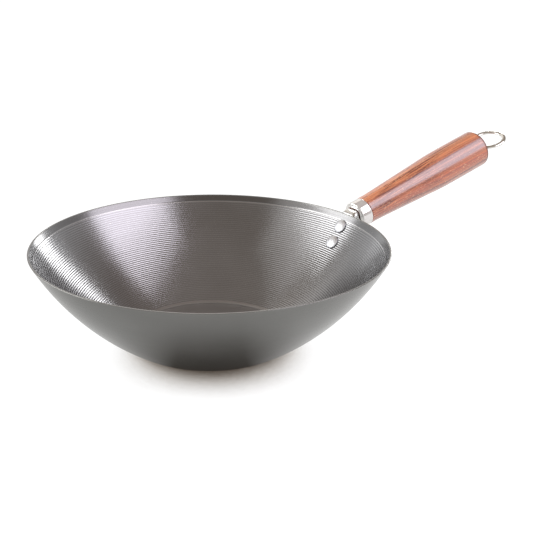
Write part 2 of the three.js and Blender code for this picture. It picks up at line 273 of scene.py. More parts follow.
def span(tree, value, low, high, out_low, out_high):
    """A number carried from one range to another, and held at its ends."""
    values = {0: value, 1: low, 2: high, 3: out_low, 4: out_high}
    return add(tree, "ShaderNodeMapRange", values).outputs[0]


def tones(tree, texture, dark, light):
    """Colours from dark to light over the usual values of a noise."""
    return ramp(tree, texture, ((NOISE_LOW, dark), (NOISE_HIGH, light)))


def spread(tree, texture, low, high):
    """Numbers from low to high over the usual values of a noise."""
    return span(tree, texture, NOISE_LOW, NOISE_HIGH, low, high)


def finish(name, **sockets):
    """A material with its shader's plain values set. Returns it with its tree and shader."""
    material = bpy.data.materials.new(name)
    material.use_nodes = True
    tree = material.node_tree
    shader = tree.nodes["Principled BSDF"]
    for key, value in sockets.items():
        shader.inputs[key.replace("_", " ")].default_value = value
    return material, tree, shader


def connect(tree, shader, **sources):
    for key, source in sources.items():
        tree.links.new(source, shader.inputs[key.replace("_", " ")])


def bump(tree, height, distance):
    values = {"Height": height, "Distance": distance, "Strength": 1.0}
    return add(tree, "ShaderNodeBump", values).outputs[0]


def object_place(tree):
    return add(tree, "ShaderNodeTexCoord").outputs["Object"]


def attribute(tree, name):
    """A number stored on the mesh, for a material."""
    return add(tree, "ShaderNodeAttribute", attribute_name=name).outputs["Fac"]


def handle_place(tree, stretch):
    """Object coordinates turned so that X runs along the handle, then scaled."""
    shift = -(Matrix.Rotation(HANDLE_RISE, 3, "Y") @ HANDLE.translation)
    values = {"Vector": object_place(tree), "Location": shift, "Rotation": (0, HANDLE_RISE, 0)}
    turned_place = add(tree, "ShaderNodeMapping", values).outputs[0]
    return vector_node(tree, "MULTIPLY", turned_place, stretch)


def handle_noise(tree, stretch, *values):
    """Noise drawn out along the handle."""
    return noise(tree, handle_place(tree, stretch), 1.0, *values)


def towards_side(tree, degrees):
    """How squarely a place on the handle faces a side, turned from its top towards -Y."""
    outward = vector_node(tree, "NORMALIZE", handle_place(tree, (0, 1, 1)))
    turn = math.radians(degrees)
    return vector_node(tree, "DOT_PRODUCT", outward, (0, -math.sin(turn), math.cos(turn)))


# Finishes

def dark_spun_steel(pitch):
    """Grey satin, paler on the turned inside, with a smooth band under the rim, a duller base, painted
    shade in the groove bottoms, a paler rim top and painted highlights on the rim line and base bead.
    """
    material, tree, shader = finish("dark_spun_steel", Metallic=0.82, Specular_Tint=(0.9, 0.9, 0.9, 1))
    # Painted shade for the groove bottoms, and the tone of the fine turning lines
    painted_groove_shade_and_line_tone = (0.12, 0.115, 0.112, 1)
    band_shade = (0.19, 0.19, 0.193, 1)
    speck_shade = (0.62, 0.61, 0.60, 1)
    # Paler rim top, and painted highlights on the line under the rim band and on the base bead
    paler_edge_and_painted_highlight = (0.42, 0.41, 0.405, 1)
    place = object_place(tree)
    height = add(tree, "ShaderNodeSeparateXYZ", {0: place}).outputs[2]
    radius = vector_node(tree, "LENGTH", vector_node(tree, "MULTIPLY", place, (1, 1, 0)))
    turning = add(tree, "ShaderNodeCombineXYZ", {0: radius, 1: 0.0, 2: height}).outputs[0]
    lines = noise(tree, turning, 1600.0, 3.0, 0.7)
    cloud = noise(tree, place, 16.0, 3.0, 0.55)
    grain = noise(tree, place, 1300.0, 0.0, 0.5)
    inside, matte = attribute(tree, "inside"), attribute(tree, "matte")
    outside = tones(tree, cloud, (0.186, 0.186, 0.177), (0.214, 0.213, 0.205))
    turned_side = tones(tree, cloud, (0.294, 0.296, 0.304), (0.334, 0.337, 0.348))
    flat_side = tones(tree, cloud, (0.30, 0.285, 0.275), (0.34, 0.325, 0.315))
    # Painted shade: the groove bottoms are darkened
    turns = math_node(tree, "MULTIPLY", attribute(tree, "wall_run"), 2 * math.pi / pitch)
    hollow = span(tree, math_node(tree, "COSINE", turns), -1.0, 1.0, 0.42, 0.0)
    groove_shaded = mix_colours(tree, hollow, turned_side, painted_groove_shade_and_line_tone)
    wall_side = mix_colours(tree, attribute(tree, "rim_band"), groove_shaded, band_shade)
    plain = mix_colours(tree, matte, mix_colours(tree, inside, outside, wall_side), flat_side)
    lined = mix_colours(tree, span(tree, lines, 0.35, 0.7, 0.0, 0.2), plain, painted_groove_shade_and_line_tone)
    specks = math_node(tree, "MULTIPLY", span(tree, grain, 0.80, 0.84, 0.0, 0.45), inside)
    specked = mix_colours(tree, specks, lined, speck_shade)
    # Paler rim top; painted highlights make the line under the rim band and the bead round the base
    # paler
    colour = mix_colours(tree, attribute(tree, "edge_wear"), specked, paler_edge_and_painted_highlight)
    satin = math_node(tree, "ADD", spread(tree, lines, 0.17, 0.23), spread(tree, cloud, -0.02, 0.02))
    rough = math_node(tree, "ADD", satin, math_node(tree, "MULTIPLY", matte, 0.22))
    connect(tree, shader, Base_Color=colour, Roughness=rough, Normal=bump(tree, lines, 0.000006))
    return material


def satin_aluminium():
    material, tree, shader = finish("satin_aluminium", Metallic=1.0)
    blotch = noise(tree, object_place(tree), 420.0, 3.0, 0.6)
    grain = noise(tree, object_place(tree), 3000.0, 2.0, 0.6)
    colour = tones(tree, blotch, (0.61, 0.62, 0.645), (0.69, 0.70, 0.725))
    rough = spread(tree, grain, 0.40, 0.52)
    connect(tree, shader, Base_Color=colour, Roughness=rough, Normal=bump(tree, grain, 0.00005))
    return material


def bright_pressed_steel():
    material, tree, shader = finish("bright_pressed_steel", Metallic=1.0)
    draw = handle_noise(tree, (120.0, 1500.0, 1500.0), 3.0, 0.6)
    blotch = noise(tree, object_place(tree), 260.0, 3.0, 0.6)
    colour = tones(tree, blotch, (0.58, 0.58, 0.58), (0.72, 0.72, 0.71))
    rough = spread(tree, draw, 0.20, 0.30)
    connect(tree, shader, Base_Color=colour, Roughness=rough, Normal=bump(tree, draw, 0.00003))
    return material


def polished_chrome(name, tint, metallic):
    material, tree, shader = finish(name, Metallic=metallic)
    haze = noise(tree, object_place(tree), 300.0, 4.0, 0.6)
    scratch = handle_noise(tree, (2600.0, 160.0, 160.0), 2.0, 0.5)
    colour = tones(tree, haze, tuple(0.93 * c for c in tint), tint)
    rough = spread(tree, haze, 0.05, 0.12)
    connect(tree, shader, Base_Color=colour, Roughness=rough, Normal=bump(tree, scratch, 0.00001))
    return material


def plated_steel():
    material, tree, shader = finish("plated_steel", Metallic=1.0)
    haze = noise(tree, object_place(tree), 700.0, 3.0, 0.6)
    colour = tones(tree, haze, (0.52, 0.51, 0.49), (0.66, 0.65, 0.63))
    rough = spread(tree, haze, 0.2, 0.34)
    connect(tree, shader, Base_Color=colour, Roughness=rough, Normal=bump(tree, haze, 0.00003))
    return material


# Sides of the handle with painted shade, where the main lamp's highlight falls, and with painted light
# near its top, in degrees
PAINTED_SHADE_SIDE, PAINTED_LIGHT_SIDE = 54, 14


def varnished_hardwood():
    """Red-brown wood in long streaks, with pale flecks, painted light near the top, streaky painted
    shade where the main lamp's highlight falls, and a darker end edge with little coat.
    """
    material, tree, shader = finish("varnished_hardwood", Coat_Roughness=0.24, Coat_IOR=1.86)
    # Colour of the painted light near the top of the handle
    painted_light_colour = (0.98, 0.37, 0.165, 1)
    # Colour of the painted shade along the side where the main lamp's highlight falls
    painted_shade_colour = (0.24, 0.040, 0.015, 1)
    streak_shade = (0.15, 0.020, 0.008, 1)
    fine_shade = (0.22, 0.035, 0.014, 1)
    fleck_shade = (0.88, 0.48, 0.25, 1)
    edge_shade = (0.14, 0.026, 0.010, 1)
    broad = handle_noise(tree, (6.0, 90.0, 90.0), 2.0, 0.5, 0.6)
    streak = handle_noise(tree, (5.0, 480.0, 480.0), 3.0, 0.6, 0.4)
    fine = handle_noise(tree, (14.0, 1100.0, 1100.0), 2.0, 0.6)
    pores = handle_noise(tree, (420.0, 1300.0, 1300.0), 0.0, 0.5)
    body = ramp(tree, broad, (
        (0.32, (0.54, 0.100, 0.034)),
        (0.50, (0.70, 0.178, 0.060)),
        (0.68, (0.84, 0.275, 0.105)),
    ))
    # Painted shade: a streaky dark strip along the side where the main lamp's highlight falls
    shade_side_facing = towards_side(tree, PAINTED_SHADE_SIDE)
    # Painted light: the wood is paler along a strip near the top of the handle
    painted_light_share = span(tree, towards_side(tree, PAINTED_LIGHT_SIDE), 0.90, 0.98, 0.0, 0.8)
    painted_lighter = mix_colours(tree, painted_light_share, body, painted_light_colour)
    painted_shade_share = span(tree, shade_side_facing, 0.88, 0.98, 0.0, 0.85)
    painted_shade_streaks = math_node(tree, "MULTIPLY", painted_shade_share, span(tree, streak, 0.38, 0.52, 0.45, 1.0))
    painted_darker = mix_colours(tree, painted_shade_streaks, painted_lighter, painted_shade_colour)
    lined = mix_colours(tree, span(tree, streak, 0.52, 0.60, 0.0, 0.9), painted_darker, streak_shade)
    grained = mix_colours(tree, span(tree, fine, 0.38, 0.58, 0.55, 0.0), lined, fine_shade)
    # Fewer flecks on the side with painted shade
    off_shade_side = span(tree, shade_side_facing, 0.88, 0.98, 1.0, 0.3)
    flecks = math_node(tree, "MULTIPLY", span(tree, pores, 0.67, 0.75, 0.0, 0.7), off_shade_side)
    flecked = mix_colours(tree, flecks, grained, fleck_shade)
    # The end edge is darker and has little coat
    edge = attribute(tree, "edge_wear")
    colour = mix_colours(tree, edge, flecked, edge_shade)
    coat = span(tree, edge, 0.0, 1.0, 1.0, 0.1)
    rough = spread(tree, streak, 0.32, 0.5)
    relief = math_node(tree, "SUBTRACT", streak, math_node(tree, "MULTIPLY", pores, 0.5))
    connect(tree, shader, Base_Color=colour, Roughness=rough, Coat_Weight=coat)
    connect(tree, shader, Normal=bump(tree, relief, 0.00008))
    return material


# Geometry Nodes

def geometry_tree(name, sizes):
    """A tree with a mesh in and out, a named input for each size, and one for the finish."""
    tree = bpy.data.node_groups.new(name, "GeometryNodeTree")
    tree.interface.new_socket("Geometry", in_out="INPUT", socket_type="NodeSocketGeometry")
    for size in sizes:
        tree.interface.new_socket(size, in_out="INPUT", socket_type="NodeSocketFloat")
    tree.interface.new_socket("Finish", in_out="INPUT", socket_type="NodeSocketMaterial")
    tree.interface.new_socket("Geometry", in_out="OUTPUT", socket_type="NodeSocketGeometry")
    return tree, add(tree, "NodeGroupInput").outputs


def stored(tree, name, kind="FLOAT"):
    """A named attribute of the mesh that a tree runs on."""
    return add(tree, "GeometryNodeInputNamedAttribute", {"Name": name}, data_type=kind).outputs[0]


def end_tree(tree, geometry, finish_socket):
    """Makes instances real, gives the finish and ends the tree."""
    whole = add(tree, "GeometryNodeRealizeInstances", {0: geometry}).outputs[0]
    values = {"Geometry": whole, "Material": finish_socket}
    painted = add(tree, "GeometryNodeSetMaterial", values).outputs[0]
    add(tree, "NodeGroupOutput", {0: painted})


def run_tree(piece, tree, values):
    """Runs a tree on a piece and keeps the result as its plain mesh."""
    modifier = piece.modifiers.new(tree.name, "NODES")
    modifier.node_group = tree
    for item in tree.interface.items_tree:
        if item.in_out == "INPUT" and item.name in values:
            modifier[item.identifier] = values[item.name]
    graph = bpy.context.evaluated_depsgraph_get()
    made = piece.evaluated_get(graph)
    mesh = bpy.data.meshes.new_from_object(made, preserve_all_data_layers=True, depsgraph=graph)
    mesh.name = piece.name
    piece.modifiers.clear()
    piece.data = mesh


def groove_tree():
    """Sinks round-bottomed turning grooves into the surface wherever wall_run is above 0."""
    tree, given = geometry_tree("turning_grooves", ("Pitch", "Depth"))
    run = stored(tree, "wall_run")
    turns = math_node(tree, "MULTIPLY", math_node(tree, "DIVIDE", run, given["Pitch"]), 2 * math.pi)
    dip = math_node(tree, "SUBTRACT", 1.0, math_node(tree, "COSINE", turns))
    hollow = math_node(tree, "MULTIPLY", dip, 0.5)
    held = math_node(tree, "MULTIPLY", hollow, math_node(tree, "GREATER_THAN", run, 0.0))
    sink = math_node(tree, "MULTIPLY", math_node(tree, "MULTIPLY", held, given["Depth"]), -1.0)
    normal = add(tree, "GeometryNodeInputNormal").outputs[0]
    values = {"Geometry": given["Geometry"], "Offset": vector_node(tree, "SCALE", normal, sink)}
    moved = add(tree, "GeometryNodeSetPosition", values).outputs[0]
    end_tree(tree, moved, given["Finish"])
    return tree


def rivet_tree(blank):
    """Sets the blank on every seat, with its head along the seat's inward direction."""
    tree, given = geometry_tree("rivet_row", ("Size",))
    shape = add(tree, "GeometryNodeObjectInfo", {"Object": blank}).outputs["Geometry"]
    inward = stored(tree, "inward", "FLOAT_VECTOR")
    turn = add(tree, "FunctionNodeAlignRotationToVector", {"Vector": inward}, axis="Z").outputs[0]
    seats = {"Points": given["Geometry"], "Instance": shape, "Rotation": turn, "Scale": given["Size"]}
    end_tree(tree, add(tree, "GeometryNodeInstanceOnPoints", seats).outputs[0], given["Finish"])
    return tree


# Bowl

WALL_CHORD = Vector((RIM_RADIUS - WALL_FOOT_RADIUS, BOWL_HEIGHT))
WALL_RADIUS = WALL_CHORD.length_squared / (8 * WALL_BULGE) + WALL_BULGE / 2
WALL_CENTRE = (
    Vector((WALL_FOOT_RADIUS, 0)) + WALL_CHORD / 2
    + Vector((-WALL_CHORD.y, WALL_CHORD.x)).normalized() * (WALL_RADIUS - WALL_BULGE)
)
WALL_INNER = WALL_RADIUS - SHEET
CORNER_RISE = CORNER_RADIUS - WALL_CENTRE.y
CORNER_CENTRE = Vector((
    WALL_CENTRE.x + math.sqrt((WALL_RADIUS - CORNER_RADIUS) ** 2 - CORNER_RISE ** 2),
    CORNER_RADIUS,
))
CORNER_MEETS = math.atan2(CORNER_RISE, CORNER_CENTRE.x - WALL_CENTRE.x)


def wall_angle(radius, height):
    return math.asin((height - WALL_CENTRE.y) / radius)


def on_wall(radius, angle):
    return (WALL_CENTRE.x + radius * math.cos(angle), WALL_CENTRE.y + radius * math.sin(angle))


def write_rows(piece, name, values, around):
    """Stores one number for each loop of a revolved piece on all of the loop's vertices.

    A pole takes the number of the loop beside it.
    """
    numbers = [value for value in values for _ in range(around)]
    numbers += [values[0], values[-1]][: len(piece.data.vertices) - len(numbers)]
    piece.data.attributes.new(name, "FLOAT", "POINT").data.foreach_set("value", numbers)


def rounded_edge(first, corner, last):
    """Points of a soft edge that leaves first and reaches last along lines towards the corner."""
    steps = 6
    shares = [i / steps for i in range(steps + 1)]
    return [tuple(first.lerp(corner, t).lerp(corner.lerp(last, t), t)) for t in shares]


def make_bowl():
    """The bowl's rows run from under the base, up outside, over the rim and down inside."""
    around = 180
    base_rows, corner_rows, wall_rows = 6, 10, 40
    rim_rows, band_rows, rows_per_groove, floor_rows = 4, 6, 6, 8
    down = -math.pi / 2
    foot = CORNER_CENTRE.x
    rim_out = wall_angle(WALL_RADIUS, BOWL_HEIGHT - RIM_ROUND)
    rim_in = wall_angle(WALL_INNER, BOWL_HEIGHT - RIM_ROUND)
    beside = RIM_ROUND / 4 / WALL_RADIUS
    outer_edge = Vector(on_wall(WALL_RADIUS, rim_out))
    inner_edge = Vector(on_wall(WALL_INNER, rim_in))
    top_out = Vector((on_wall(WALL_RADIUS - RIM_ROUND, rim_out)[0], BOWL_HEIGHT))
    top_in = Vector((on_wall(WALL_INNER + RIM_ROUND, rim_in)[0], BOWL_HEIGHT))
    line_top = wall_angle(WALL_INNER, BOWL_HEIGHT) - RIM_BAND / WALL_INNER
    line_end = line_top - RIM_LINE_WIDTH / WALL_INNER
    wall_length = (line_end - CORNER_MEETS) * WALL_INNER
    pitch = wall_length / GROOVE_COUNT
    rows = []

    def put(points, run=0.0, inside=0.0, edge_tone_share=0.0, band=0.0, matte=0.0):
        rows.extend((point, run, inside, edge_tone_share, band, matte) for point in points)

    put([(0.0, 0.0)])
    put(between((0.0, 0.0), (foot, 0.0), base_rows))
    put(arc(CORNER_CENTRE, CORNER_RADIUS, down, CORNER_MEETS, corner_rows)[1:])
    put(arc(WALL_CENTRE, WALL_RADIUS, CORNER_MEETS, rim_out - beside, wall_rows)[1:])
    put(rounded_edge(outer_edge, Vector((outer_edge.x, BOWL_HEIGHT)), top_out), edge_tone_share=0.1)
    put(between(top_out, top_in, rim_rows)[:-1], edge_tone_share=0.35)
    put(rounded_edge(top_in, Vector((inner_edge.x, BOWL_HEIGHT)), inner_edge), edge_tone_share=0.1)
    rim_band = arc(WALL_CENTRE, WALL_INNER, rim_in - beside, line_top, band_rows)
    put(rim_band, inside=1.0, band=1.0)
    # Painted highlight: the line under the rim band is made paler
    for share in (0.2, 0.4, 0.6, 0.8):
        reach = WALL_INNER + RIM_LINE_DEPTH * math.sin(math.pi * share)
        put([on_wall(reach, line_top + (line_end - line_top) * share)], inside=1.0, edge_tone_share=0.6)
    put([on_wall(WALL_INNER, line_end)], inside=1.0)
    steps = GROOVE_COUNT * rows_per_groove
    for i in range(1, steps):
        run = wall_length * i / steps
        put([on_wall(WALL_INNER, line_end - run / WALL_INNER)], run=run, inside=1.0)
    inner_corner = arc(CORNER_CENTRE, CORNER_RADIUS - SHEET, CORNER_MEETS, down, corner_rows)
    put(inner_corner, inside=1.0, matte=0.7)
    # Painted highlight: the bead round the base is made paler
    for share in (0.25, 0.5, 0.75):
        rise = BEAD_RISE * math.sin(math.pi * share)
        put([(foot - BEAD_WIDTH * share, SHEET + rise)], inside=1.0, edge_tone_share=0.2, matte=0.8)
    floor = between((foot - BEAD_WIDTH, SHEET), (0.0, SHEET), floor_rows)
    put(floor, inside=1.0, matte=1.0)

    bowl = revolve("spun_bowl", [row[0] for row in rows], around)
    for index, name in enumerate(("wall_run", "inside", "edge_wear", "rim_band", "matte"), 1):
        write_rows(bowl, name, [row[index] for row in rows[1:-1]], around)
    values = {"Pitch": pitch, "Depth": GROOVE_DEPTH, "Finish": dark_spun_steel(pitch)}
    run_tree(bowl, groove_tree(), values)
    return bowl


# Rivets

def rivet_seat(drop):
    """Angle on the wall, place and inward direction of a rivet below the rim."""
    angle = wall_angle(WALL_INNER, BOWL_HEIGHT - drop)
    radius, height = on_wall(WALL_INNER, angle)
    return angle, Vector((radius, 0, height)), Vector((-math.cos(angle), 0, -math.sin(angle)))


def make_rivets():
    """Both rivets are one blank, revolved from its clenched end to the top of its dome."""
    around, dome_steps, clench_steps = 48, 12, 10
    soft = 0.0003
    soft_turn = 0.04
    outside = -(SHEET + SEAT_GAP + BRACKET_SHEET) - SEAT_GAP
    edge = SEAT_GAP + RIVET_EDGE
    dome_rise = RIVET_HEAD_RISE - RIVET_EDGE
    dome_radius = (RIVET_HEAD_RADIUS ** 2 + dome_rise ** 2) / (2 * dome_rise)
    dome_centre = (0, SEAT_GAP + RIVET_HEAD_RISE - dome_radius)
    dome_start = math.acos(RIVET_HEAD_RADIUS / dome_radius) + soft_turn
    dome = arc(dome_centre, dome_radius, dome_start, math.pi / 2, dome_steps)[:-1]
    quarter = arc((0, 0), 1, -math.pi / 2, 0, clench_steps)
    clench = [(CLENCH_RADIUS * x, outside + CLENCH_RISE * y) for x, y in quarter]
    profile = [
        (0, outside - CLENCH_RISE),
        *clench[1:],
        (SHANK_RADIUS, outside),
        (SHANK_RADIUS, SEAT_GAP),
        (RIVET_HEAD_RADIUS - soft, SEAT_GAP),
        (RIVET_HEAD_RADIUS, SEAT_GAP + soft / 2),
        (RIVET_HEAD_RADIUS, edge - soft / 2),
        *dome,
        (0, SEAT_GAP + RIVET_HEAD_RISE),
    ]
    blank = revolve("rivet_blank", profile, around)
    seats = bpy.data.meshes.new("rivets")
    places = [rivet_seat(drop) for drop in RIVET_DROPS]
    seats.from_pydata([seat for _, seat, _ in places], [], [])
    inward = [number for _, _, direction in places for number in direction]
    seats.attributes.new("inward", "FLOAT_VECTOR", "POINT").data.foreach_set("vector", inward)
    rivets = linked("rivets", seats)
    run_tree(rivets, rivet_tree(blank), {"Size": 1.0, "Finish": satin_aluminium()})
    bpy.data.objects.remove(blank)
    return rivets


# Bracket

AT_BEND = (BEND_HALF_WIDTH, BEND_FLANGE, NECK_CORNER)
AT_NECK = (NECK_HALF_WIDTH, NECK_DEPTH, NECK_CORNER)


def channel_section(half_width, depth, corner, crown):
    """The pressed channel's section, as (sideways, above) points of a closed loop."""
    fold_steps = 10
    least_fold = 0.0003
    flat = half_width - corner
    fold = max(corner - BRACKET_SHEET, least_fold)
    fold_centre = (half_width - BRACKET_SHEET - fold, -BRACKET_SHEET - fold)
    outer = [(half_width, -depth), *arc((flat, -corner), corner, 0, math.pi / 2, fold_steps)]
    outer += between((flat, 0), (0, 0), 5)
    inner = [(0, -BRACKET_SHEET), *between((0, -BRACKET_SHEET), (flat, -BRACKET_SHEET), 4)]
    inner[-1] = (fold_centre[0], -BRACKET_SHEET)
    inner += arc(fold_centre, fold, math.pi / 2, 0, fold_steps)[1:]
    inner.append((half_width - BRACKET_SHEET, -depth))
    other_outer = [(-x, y) for x, y in reversed(outer[:-1])]
    other_inner = [(-x, y) for x, y in reversed(inner[1:])]
    return [(x, y + crown * x * x) for x, y in outer + other_outer + other_inner + inner]


def pad_size(from_tip, pad_length):
    """Half width, depth and corner of the section on the pad, which folds up towards the neck."""
    tip = max(PAD_HALF_WIDTH - from_tip, 0)
    wide = max(math.sqrt(PAD_HALF_WIDTH ** 2 - tip ** 2), PAD_TIP_HALF_WIDTH)
    share = min(max((from_tip - PAD_HALF_WIDTH) / (pad_length - PAD_HALF_WIDTH), 0), 1)
    folded = share * share * (3 - 2 * share)
    on_pad = (wide, BRACKET_SHEET + PAD_LIP, BRACKET_SHEET + PAD_LIP / 2)
    return [a + (b - a) * folded for a, b in zip(on_pad, AT_BEND)]


def on_handle(along, above):
    """A point of the handle's upright middle plane, as (out, up)."""
    point = HANDLE @ Vector((along, 0, above))
    return Vector((point.x, point.z))


def cap_ends(piece, count):
    """Closes the first and last loop of an open skin across the channel, from side to side."""
    shell = bmesh.new()
    shell.from_mesh(piece.data)
    edges = [edge for edge in shell.edges if edge.is_boundary]
    bmesh.ops.holes_fill(shell, edges=edges, sides=count)
    bmesh.ops.recalc_face_normals(shell, faces=shell.faces)
    shell.to_mesh(piece.data)
    shell.free()


def make_bracket():
    """The channel runs along stations: up the pad, over the bend and along the neck to the tang."""
    pad_steps, bend_steps, neck_steps = 40, 18, 8
    outward = Vector((math.cos(HANDLE_RISE), math.sin(HANDLE_RISE)))
    against = WALL_RADIUS + SEAT_GAP
    below = on_handle(0, NECK_TOP - BEND_RADIUS)
    from_centre = below - WALL_CENTRE
    lean = from_centre.dot(outward)
    along = math.sqrt(lean ** 2 - from_centre.length_squared + (against + BEND_RADIUS) ** 2) - lean
    bend_centre = below + outward * along
    leaves = math.atan2(bend_centre.y - WALL_CENTRE.y, bend_centre.x - WALL_CENTRE.x)
    pad_end = rivet_seat(RIVET_DROPS[1])[0] - PAD_BELOW_RIVET / WALL_RADIUS
    pad_length = (leaves - pad_end) * against
    stations = []
    for i in range(pad_steps + 1):
        angle = pad_end + (leaves - pad_end) * i / pad_steps
        point = Vector(on_wall(against, angle))
        crown = math.cos(angle) / (2 * point.x)
        normal = Vector((-math.cos(angle), -math.sin(angle)))
        size = pad_size(pad_length * i / pad_steps, pad_length)
        stations.append((point, normal, *size, crown))
    wall_crown = stations[-1][-1]
    for i in range(1, bend_steps + 1):
        share = i / bend_steps
        angle = leaves + math.pi + (HANDLE_RISE - math.pi / 2 - leaves) * share
        normal = Vector((math.cos(angle), math.sin(angle)))
        point = bend_centre + normal * BEND_RADIUS
        stations.append((point, normal, *AT_BEND, wall_crown * (1 - share)))
    upward = Vector((-outward.y, outward.x))
    start = on_handle(FERRULE_START - NECK_LEAD, NECK_TOP)
    end = on_handle(TANG_END, NECK_TOP)
    for i in range(neck_steps + 1):
        stations.append((start.lerp(end, i / neck_steps), upward, *AT_NECK, 0.0))
    loops = []
    for point, normal, *size in stations:
        section = channel_section(*size)
        loops.append([
            (point.x + normal.x * above, aside, point.y + normal.y * above)
            for aside, above in section
        ])
    bracket = skin("pressed_bracket", loops)
    cap_ends(bracket, len(loops[0]))
    bracket.data.materials.append(bright_pressed_steel())
    return bracket


# Ferrule

def slot_reach(angle):
    """Distance from the axis to the edge of the window for the neck."""
    half_width = NECK_HALF_WIDTH + SLOT_CLEARANCE
    top = NECK_TOP + SLOT_CLEARANCE
    bottom = top - NECK_DEPTH - 2 * SLOT_CLEARANCE
    corner = NECK_CORNER + SLOT_CLEARANCE
    halvings = 40
    low, high = 0.0, 2 * half_width
    for _ in range(halvings):
        reach = (low + high) / 2
        aside, above = abs(reach * math.cos(angle)), reach * math.sin(angle)
        past = Vector((aside - half_width + corner, above - top + corner))
        outside = aside > half_width or above > top or above < bottom
        if outside or (min(past) > 0 and past.length > corner):
            high = reach
        else:
            low = reach
    return low


def make_ferrule():
    around = 160
    turns = [2 * math.pi * i / around for i in range(around)]
    slot = [slot_reach(turn) for turn in turns]
    round_centre = (FERRULE_START + FERRULE_ROUND, FERRULE_RADIUS - FERRULE_ROUND)
    face = FERRULE_RADIUS - FERRULE_ROUND
    bore = FERRULE_RADIUS - FERRULE_WALL
    lip = 0.00015
    outer = arc(round_centre, FERRULE_ROUND, math.pi, math.pi / 2, 10)
    inner = arc(round_centre, FERRULE_ROUND - FERRULE_WALL, math.pi / 2, math.pi, 8)

    def loop(along, reaches):
        return [
            HANDLE @ Vector((along, r * math.cos(t), r * math.sin(t)))
            for r, t in zip(reaches, turns)
        ]

    def from_slot(along, shares, grow=0.0):
        return [
            loop(along, [(r + grow) + (face - r - grow) * share for r in slot])
            for share in shares
        ]

    turned_rows = [
        *outer,
        *between(outer[-1], (FERRULE_END - lip, FERRULE_RADIUS), 8),
        (FERRULE_END, FERRULE_RADIUS - lip),
        (FERRULE_END, bore + lip),
        *between((FERRULE_END, bore), inner[0], 6),
        *inner[1:],
    ]
    loops = from_slot(FERRULE_START + lip, (0,))
    loops += from_slot(FERRULE_START, (0, 0.3, 0.6, 0.9), lip)
    loops += [loop(along, [radius] * around) for along, radius in turned_rows]
    loops += from_slot(FERRULE_START + FERRULE_WALL, (0.9, 0.5, 0))
    ferrule = skin("drawn_ferrule", loops, wrap=True)
    chrome = polished_chrome("ferrule_chrome", tint=(0.86, 0.845, 0.82), metallic=0.55)
    ferrule.data.materials.append(chrome)
    return ferrule


# Wood

def smooth_outline(points, steps):
    """Curve through the points of the handle's outline, in equal shares from point to point."""
    knots = [Vector(point) for point in points]
    curve = []
    for i in range(steps + 1):
        run = (len(knots) - 1) * i / steps
        k = min(int(run), len(knots) - 2)
        t = run - k
        here, there = knots[k], knots[k + 1]
        before, after = knots[max(k - 1, 0)], knots[min(k + 2, len(knots) - 1)]
        leave, arrive = (there - before) / 2, (after - here) / 2
        curve.append(tuple(
            (2 * here - 2 * there + leave + arrive) * t ** 3
            + (-3 * here + 3 * there - 2 * leave - arrive) * t ** 2
            + leave * t + here
        ))
    return curve


def make_wood():
    around = 120
    tenon = FERRULE_RADIUS - FERRULE_WALL - SEAT_GAP
    tenon_front = FERRULE_START + FERRULE_WALL + SEAT_GAP
    counterbore = WASHER_RADIUS + SEAT_GAP
    floor_along = WOOD_END - COUNTERBORE_DEPTH
    soft = 0.0002
    outline_steps, end_steps = 96, 12
    end_start = WOOD_END - END_ROUND
    knots = [(WOOD_FRONT, FERRULE_RADIUS), WAIST, BELLY, SWELL, (end_start, END_RADIUS)]
    outline = smooth_outline(knots, outline_steps)
    end_centre = (end_start, END_RADIUS - END_ROUND)
    end_round = arc(end_centre, END_ROUND, math.pi / 2, 0, end_steps)
    front = [
        (tenon_front, SOCKET_RADIUS),
        (tenon_front, tenon - TENON_CHAMFER),
        (tenon_front + TENON_CHAMFER, tenon),
        (WOOD_FRONT, tenon),
        (WOOD_FRONT, FERRULE_RADIUS - soft),
    ]
    back = [
        (WOOD_END, counterbore + soft),
        (WOOD_END - soft, counterbore),
        (floor_along, counterbore),
        (floor_along, BORE_RADIUS),
        (SOCKET_END, BORE_RADIUS),
        (SOCKET_END, SOCKET_RADIUS),
    ]
    skirt = [(outline[0][0] + soft, outline[0][1])] + outline[2:]
    end_face = between(end_round[-1], back[0], 6)[:-1]
    profile = front + skirt + end_round[1:] + end_face + back
    edge_tone_share = [0.0] * (len(front) + len(skirt) - 1) + [0.8] + [1.0] * end_steps
    edge_tone_share += [0.0] * (len(profile) - len(edge_tone_share))
    wood = turned("turned_handle", profile, around)
    write_rows(wood, "edge_wear", edge_tone_share, around)
    wood.data.materials.append(varnished_hardwood())
    return wood


# Tie rod, washer and ring

EYE_CENTRE = HANDLE @ Matrix.Translation((EYE_ALONG, 0, 0))


def wire_loop(name, mean_radius, width, thickness, place, around):
    """A ring of oval wire round local +Z."""
    wire_steps = 24
    oval = arc((0, 0), 0.5, 0, 2 * math.pi, wire_steps)[:-1]
    profile = [(mean_radius + width * x, thickness * y) for x, y in oval]
    return revolve(name, profile, around, place)


